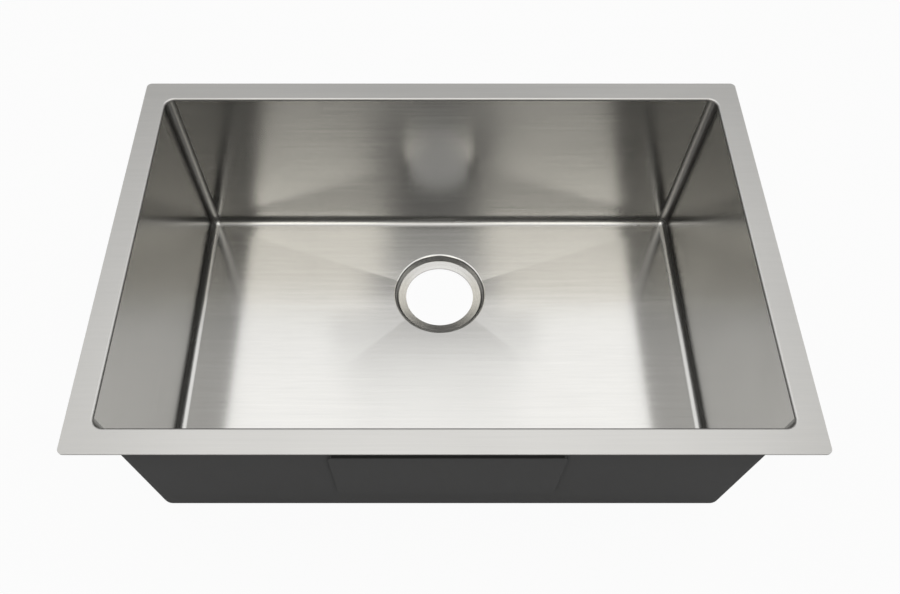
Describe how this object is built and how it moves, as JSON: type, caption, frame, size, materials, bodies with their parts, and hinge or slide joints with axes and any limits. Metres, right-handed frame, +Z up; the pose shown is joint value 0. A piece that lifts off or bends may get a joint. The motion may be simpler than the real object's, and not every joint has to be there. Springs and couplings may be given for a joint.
{
  "type": "undermount kitchen sink",
  "caption": "Rectangular single-bowl undermount kitchen sink in satin steel, with a flat rim, tight rounded corners, a creased floor that drains to the rear, and a dark coated outside.",
  "frame": {"origin": "centre of the rim's top face, which is the underside of the worktop", "axes": "+Z up out of the bowl, +X along the bowl's length to the right, +Y to the rear, where the drain is"},
  "size_m": [0.686, 0.457, 0.2426],
  "materials": {
    "satin_steel": "fine straight brushing",
    "weld_metal": "ground flush and brushed",
    "pad_rubber": "matte black sheet rubber",
    "undercoat": "matte sprayed sound-deadening coat, finely pebbled"
  },
  "bodies": {
    "root": {"floor_pan": "satin_steel", "front_wall": "satin_steel", "rear_wall": "satin_steel", "left_end": "satin_steel", "right_end": "satin_steel", "left_weld": "weld_metal", "right_weld": "weld_metal", "front_weld": "weld_metal", "rear_weld": "weld_metal", "front_pad": "pad_rubber", "rear_pad": "pad_rubber", "left_pad": "pad_rubber", "right_pad": "pad_rubber", "left_floor_pad": "pad_rubber", "right_floor_pad": "pad_rubber", "front_floor_pad": "pad_rubber", "wall_coat": "undercoat", "floor_coat": "undercoat"}
  },
  "joints": []
}
